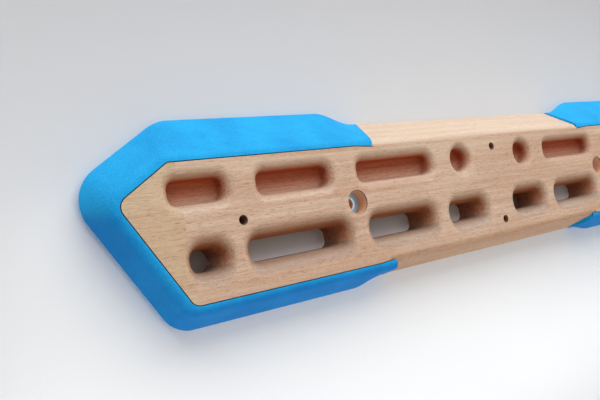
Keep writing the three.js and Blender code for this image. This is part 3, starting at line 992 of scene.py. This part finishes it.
# the wall's paint with its painted light and shade
def wallColours(f):
    x, _, z = f.axes(f.where)
    base = f.blended(f.between(z, *wall["heights"], how="LINEAR"), wall["low"], wall["high"])
    base = f.blended(f.between(x, *wall["farX"]), base, wall["far"], "MULTIPLY")
    near = (f.between(abs(z - wall["nearZ"]), *wall["nearReach"])
            * f.between(x, *wall["nearRight"]) * f.between(x, *wall["nearLeft"]))
    base = f.blended(near * wall["nearShare"], base, wall["near"])
    topZ, heelX, soft = core["upperEdge"][0] * mm, board["heelX"] * mm, wall["coverSoft"]
    covered = f.between(abs(z), topZ, topZ - soft) * f.between(abs(x), heelX, heelX - soft)
    behind, glow = behindSlots(f, x, z, covered)
    return f.blended(covered, base, behind), glow


def plaster(name, painted=None):
    # matt paint that shows from the front only
    f = Finish(name)
    base, glow = painted(f) if painted else (wall["grey"], black)
    patches = f.noise(*wall["patches"])
    base = f.blended(f.between(patches, *wall["patchRange"]), base, wall["grey"])
    paint = f.node("BsdfPrincipled", {}, {
        "Base Color": base, "Roughness": wall["roughness"], "Emission Color": glow, "Emission Strength": 1})
    clear, fromBehind = f.node("BsdfTransparent"), f.node("NewGeometry", out="Backfacing")
    f.node("OutputMaterial", {}, {"Surface": f.node("MixShader", {}, {0: fromBehind, 1: paint, 2: clear})})
    return f.material


def dress(piece, material, node):
    smooth(piece)
    applied(piece)
    piece.data.materials.clear()
    piece.data.materials.append(material)
    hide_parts(node)
    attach(piece, "root")


middleBeech = beech("beechMiddle", wood["pale"], wood["tan"], (0, 0, 0))
endBeech = beech("beechEnd", wood["endPale"], wood["endTan"], wood["endShift"])
blue = castBlue()
dress(woodMiddle, middleBeech, "wood_core_middle")
dress(woodLeftEnd, endBeech, "wood_core_left_end")
dress(woodRightEnd, endBeech, "wood_core_right_end")
dress(endCapLeft, blue, "end_cap_left")
dress(endCapRight, blue, "end_cap_right")
steel = metal("washerSteel", washerSteel)
zinc = metal("screwZinc", screwZinc)
dress(washers[0], steel, "bolt_washer_left")
dress(washers[1], steel, "bolt_washer_right")
for piece, node in screws:
    dress(piece, zinc, node)
print("finishes on")


# Wall, floor and light

room = {
    "width": 3, "height": 2, "floorDrop": 0.3,  # metres to each side, up and down
    "wallGap": 0.6,  # millimetres behind the board
    "ceiling": {"place": (0.1, -1.15, 1.35), "size": (3, 2.1), "watts": 52},
    "front": {"place": (0.5, -2.2, 0.4), "size": (1.6, 1.6), "watts": 4},
    "low": {"place": (0, -0.35, -0.27), "size": (2.6, 0.12), "watts": 0.5, "spread": 45},
    # behind the wall, and for the board's pieces alone
    "behind": {"place": (0, 1.3, 0.1), "size": (1.3, 0.5), "watts": 0.3, "spread": 12},
    "sky": 0.2, "skyTint": (0.95, 0.98, 1, 1),
}


def plane(name, corners, material):
    mesh = bpy.data.meshes.new(name)
    mesh.from_pydata(corners, [], [(0, 1, 2, 3)])
    mesh.materials.append(material)
    piece = bpy.data.objects.new(name, mesh)
    bpy.context.scene.collection.objects.link(piece)


def softLamp(name, lamp, target):
    data = bpy.data.lights.new(name, "AREA")
    data.shape = "RECTANGLE"
    data.size, data.size_y = lamp["size"]
    data.energy = lamp["watts"]
    data.spread = math.radians(lamp.get("spread", 180))
    holder = bpy.data.objects.new(name, data)
    place = Vector(lamp["place"])
    holder.location = place
    holder.rotation_euler = (Vector(target) - place).to_track_quat("-Z", "Y").to_euler()
    bpy.context.scene.collection.objects.link(holder)
    return holder


def setRoom():
    paint, plain = plaster("wallPaint", wallColours), plaster("floorPaint")
    w, h, low, wallY = room["width"], room["height"], -room["floorDrop"], room["wallGap"] * mm
    plane("wall", [(-w, wallY, low), (w, wallY, low), (w, wallY, h), (-w, wallY, h)], paint)
    plane("floor", [(-w, -w, low), (w, -w, low), (w, wallY, low), (-w, wallY, low)], plain)
    x, y, _ = room["ceiling"]["place"]
    softLamp("ceiling", room["ceiling"], (x, y, 0))
    softLamp("front", room["front"], (0, 0, 0))
    softLamp("low", room["low"], (0, 0, -0.2))
    behind = softLamp("behind", room["behind"], (0, 0, 0))
    boardPieces = bpy.data.collections.new("boardPieces")
    staves = [woodMiddle, woodLeftEnd, woodRightEnd]
    for piece in [*staves, endCapLeft, endCapRight, *washers, *(screw for screw, node in screws)]:
        boardPieces.objects.link(piece)
    behind.light_linking.receiver_collection = boardPieces
    behind.light_linking.blocker_collection = boardPieces
    world = bpy.data.worlds.new("sky")
    world.use_nodes = True
    background = world.node_tree.nodes["Background"]
    background.inputs["Color"].default_value = room["skyTint"]
    background.inputs["Strength"].default_value = room["sky"]
    bpy.context.scene.world = world
    bpy.context.scene.view_settings.view_transform = "Standard"


setRoom()
print("room lit")
